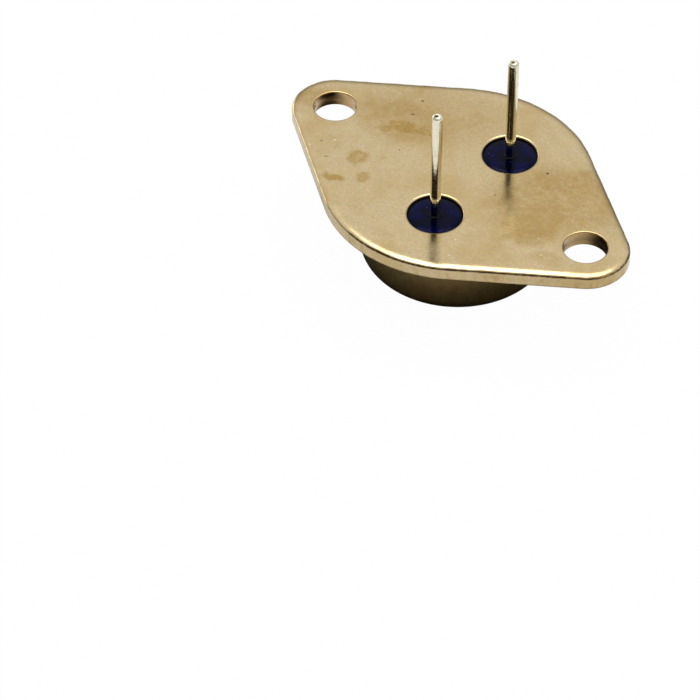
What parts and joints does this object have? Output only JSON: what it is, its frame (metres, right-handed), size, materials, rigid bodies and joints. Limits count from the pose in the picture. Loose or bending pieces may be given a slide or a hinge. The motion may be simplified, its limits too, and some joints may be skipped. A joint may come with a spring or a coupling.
{
  "type": "power transistor",
  "caption": "Metal-can power transistor: plated diamond flange with mounting holes, a round welded can on one face and straight pins in dark blue glass seals on the other.",
  "frame": {"origin": "centre of the flange's seating face, midway between the two mounting holes", "axes": "+Z out of the seating face, the way the pins point; +X from the centre towards the mounting hole that is nearer the pins; the emitter pin is on the -Y side"},
  "size_m": [0.0384, 0.0256, 0.0208],
  "materials": {
    "nickel_flange": "satin champagne nickel plate over steel, with faint brown stains",
    "nickel_can": "satin nickel plate over drawn steel, finely speckled",
    "plated_pin": "bright nickel plate over alloy wire",
    "seal_glass": "glossy dark blue sealing glass",
    "spreader_copper": "bare copper",
    "solder": "dull solder",
    "silicon": "polished silicon",
    "bond_wire": "soft drawn aluminium"
  },
  "bodies": {
    "root": {"header_flange": "nickel_flange", "can": "nickel_can", "emitter_pin": "plated_pin", "base_pin": "plated_pin", "emitter_glass_seal": "seal_glass", "base_glass_seal": "seal_glass", "heat_spreader": "spreader_copper", "die_solder": "solder", "silicon_die": "silicon", "emitter_wire_near": "bond_wire", "emitter_wire_far": "bond_wire", "base_wire": "bond_wire"}
  },
  "joints": []
}
